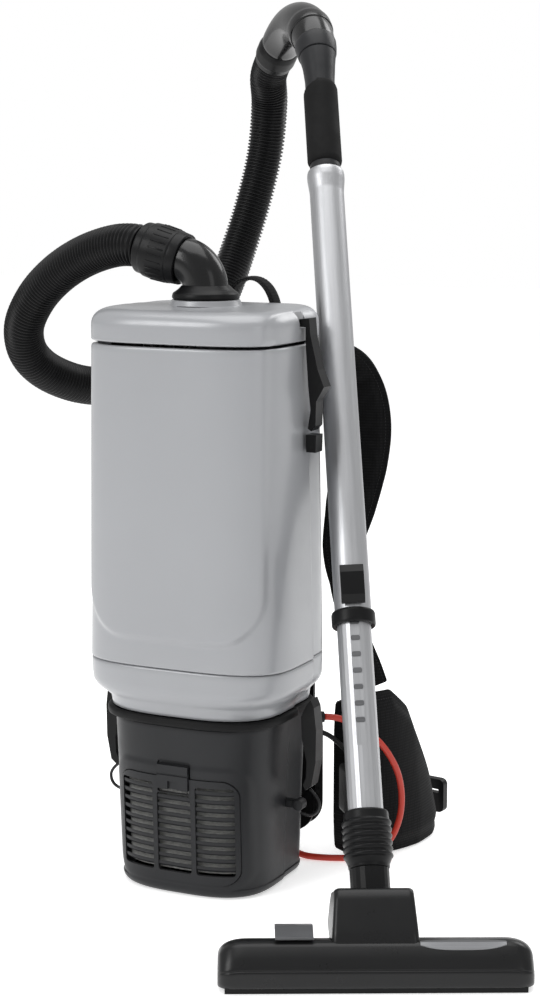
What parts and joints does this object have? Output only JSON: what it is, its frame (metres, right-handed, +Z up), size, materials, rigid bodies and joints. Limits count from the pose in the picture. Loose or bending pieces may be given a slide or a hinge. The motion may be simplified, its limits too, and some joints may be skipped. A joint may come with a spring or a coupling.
{
  "type": "backpack vacuum cleaner",
  "caption": "Backpack vacuum cleaner: silver grey canister on a padded harness with a dark motor base, lift-off lid, ribbed hose, telescopic wand and hard-floor nozzle.",
  "frame": {"origin": "centre of the motor base's flat underside, on the floor", "axes": "+Z up, -Y the front with the exhaust grille, +Y towards the wearer's back, +X to the viewer's right when facing the front"},
  "size_m": [0.6601, 0.7133, 0.869],
  "materials": {
    "silver_plastic": "satin moulded plastic",
    "dark_plastic": "dark grey moulded plastic, satin",
    "black_plastic": "black moulded plastic, satin",
    "rubber": "matt black",
    "hose_plastic": "ribbed flexible plastic, satin black",
    "tube_metal": "brushed and anodised",
    "steel": "machined",
    "wire": "black coated wire",
    "webbing": "woven black webbing and padded mesh",
    "filter": "light grey fibrous filter fleece",
    "red_cable": "red cable jacket"
  },
  "bodies": {
    "pack": {"base_housing": "dark_plastic", "base_gasket": "rubber", "lower_dish": "silver_plastic", "body_shell": "silver_plastic", "back_plate": "black_plastic", "motor_can": "black_plastic", "motor_filter": "filter", "exhaust_filter": "filter", "dust_bag": "filter", "bag_plate": "black_plastic", "upper_bracket_right": "black_plastic", "upper_bracket_left": "black_plastic", "hose_lower": "hose_plastic", "back_pad": "webbing", "lumbar_pad": "webbing", "hip_wing_right": "webbing", "hip_wing_left": "webbing", "shoulder_strap_right": "webbing", "shoulder_strap_left": "webbing", "belt_buckle_right": "black_plastic", "belt_buckle_left": "black_plastic", "carry_handle": "webbing", "cable_gland": "black_plastic", "supply_lead": "red_cable", "lead_connector": "black_plastic", "control_lead": "black_plastic", "switch_box": "black_plastic", "handle_tube": "dark_plastic", "handle_elbow": "dark_plastic", "grip_sleeve": "rubber", "outer_tube": "tube_metal", "lock_collar": "black_plastic"},
    "lid": {"lid_shell": "silver_plastic", "inlet_elbow": "black_plastic", "hose_upper": "hose_plastic"},
    "hose_cuff": {"hose_cuff": "black_plastic"},
    "upper_clip_right": {"upper_clip_right": "black_plastic"},
    "upper_clip_left": {"upper_clip_left": "black_plastic"},
    "lower_clip_right": {"lower_clip_right": "black_plastic", "wire_bail_right": "wire"},
    "lower_clip_left": {"lower_clip_left": "black_plastic", "wire_bail_left": "wire"},
    "exhaust_door": {"exhaust_door": "dark_plastic"},
    "door_latch": {"door_latch": "dark_plastic"},
    "rotor": {"motor_armature": "steel", "fan_impeller": "steel"},
    "handle_cuff": {"handle_cuff": "black_plastic"},
    "air_valve": {"air_valve": "dark_plastic"},
    "lock_button": {"lock_button": "black_plastic"},
    "wand_inner": {"inner_tube": "tube_metal", "tube_connector": "black_plastic"},
    "neck": {"swivel_neck": "black_plastic"},
    "nozzle": {"nozzle_body": "black_plastic", "neck_housing": "black_plastic", "sole_plate": "steel"},
    "pedal": {"nozzle_pedal": "dark_plastic"},
    "brush": {"brush_frame": "black_plastic"},
    "roller_right": {"nozzle_roller_right": "black_plastic"},
    "roller_left": {"nozzle_roller_left": "black_plastic"},
    "switch_rocker": {"switch_rocker": "dark_plastic"}
  },
  "joints": [
    {"name": "lid_lift", "type": "slide", "parent": "pack", "child": "lid", "axis": [0, 0, 1], "range_m": [0, 0.03]},
    {"name": "upper_clip_right_turn", "type": "hinge", "parent": "pack", "child": "upper_clip_right", "pos_m": [0.1088, 0.011, 0.4535], "axis": [0, 1, 0], "range_deg": [0, 80]},
    {"name": "upper_clip_left_turn", "type": "hinge", "parent": "pack", "child": "upper_clip_left", "pos_m": [-0.1088, 0.011, 0.4535], "axis": [0, -1, 0], "range_deg": [0, 80]},
    {"name": "hose_cuff_turn", "type": "hinge", "parent": "lid", "child": "hose_cuff", "pos_m": [-0.0222, 0, 0.60781], "axis": [-0.9703, 0, 0.2419], "continuous": true},
    {"name": "lower_clip_right_turn", "type": "hinge", "parent": "pack", "child": "lower_clip_right", "pos_m": [0.11, 0.01, 0.186], "axis": [0, -1, 0], "range_deg": [0, 70]},
    {"name": "lower_clip_left_turn", "type": "hinge", "parent": "pack", "child": "lower_clip_left", "pos_m": [-0.11, 0.01, 0.186], "axis": [0, 1, 0], "range_deg": [0, 70]},
    {"name": "exhaust_door_turn", "type": "hinge", "parent": "pack", "child": "exhaust_door", "pos_m": [0, -0.0734, 0.0149], "axis": [1, 0, 0], "range_deg": [0, 80]},
    {"name": "door_latch_slide", "type": "slide", "parent": "exhaust_door", "child": "door_latch", "axis": [0, 0, -1], "range_m": [0, 0.003], "stiffness_N_per_m": 600},
    {"name": "rotor_spin", "type": "hinge", "parent": "pack", "child": "rotor", "pos_m": [0, 0.006, 0.06], "axis": [0, 0, 1], "continuous": true},
    {"name": "handle_cuff_turn", "type": "hinge", "parent": "pack", "child": "handle_cuff", "pos_m": [-0.09761, 0.37007, 0.82319], "axis": [-0.5742, 0.5658, -0.5918], "continuous": true},
    {"name": "air_valve_slide", "type": "slide", "parent": "pack", "child": "air_valve", "axis": [-0.262, 0.4451, 0.8563], "range_m": [-0.012, 0.012]},
    {"name": "lock_button_slide", "type": "slide", "parent": "pack", "child": "lock_button", "axis": [0.262, -0.4451, -0.8563], "range_m": [0, 0.003], "stiffness_N_per_m": 600},
    {"name": "telescope_slide", "type": "slide", "parent": "pack", "child": "wand_inner", "axis": [-0.262, 0.4451, 0.8563], "range_m": [0, 0.15]},
    {"name": "neck_swivel", "type": "hinge", "parent": "wand_inner", "child": "neck", "pos_m": [0.22722, -0.129, 0.07925], "axis": [-0.262, 0.4451, 0.8563], "range_deg": [-40, 40]},
    {"name": "nozzle_tilt", "type": "hinge", "parent": "neck", "child": "nozzle", "pos_m": [0.2377, -0.1468, 0.045], "axis": [0.8969, 0.4423, 0], "range_deg": [-31, 49]},
    {"name": "pedal_rock", "type": "hinge", "parent": "nozzle", "child": "pedal", "pos_m": [0.1904, -0.20915, 0.04], "axis": [0.8969, 0.4423, 0], "range_deg": [-7, 0]},
    {"name": "brush_lift", "type": "slide", "parent": "nozzle", "child": "brush", "axis": [0, 0, 1], "range_m": [0, 0.005]},
    {"name": "roller_right_spin", "type": "hinge", "parent": "nozzle", "child": "roller_right", "pos_m": [0.30218, -0.13284, 0.0072], "axis": [0.8969, 0.4423, 0], "continuous": true},
    {"name": "roller_left_spin", "type": "hinge", "parent": "nozzle", "child": "roller_left", "pos_m": [0.18738, -0.18946, 0.0072], "axis": [0.8969, 0.4423, 0], "continuous": true},
    {"name": "switch_rocker_turn", "type": "hinge", "parent": "pack", "child": "switch_rocker", "pos_m": [0.12078, 0.08873, 0.078], "axis": [0.7547, 0.6561, 0], "range_deg": [0, 10]}
  ],
  "couplings": [
    {"joint": "upper_clip_right_turn", "follows": "lid_lift", "rad_per_m": 46.5},
    {"joint": "upper_clip_left_turn", "follows": "lid_lift", "rad_per_m": 46.5},
    {"joint": "brush_lift", "follows": "pedal_rock", "m_per_rad": -0.0409}
  ]
}
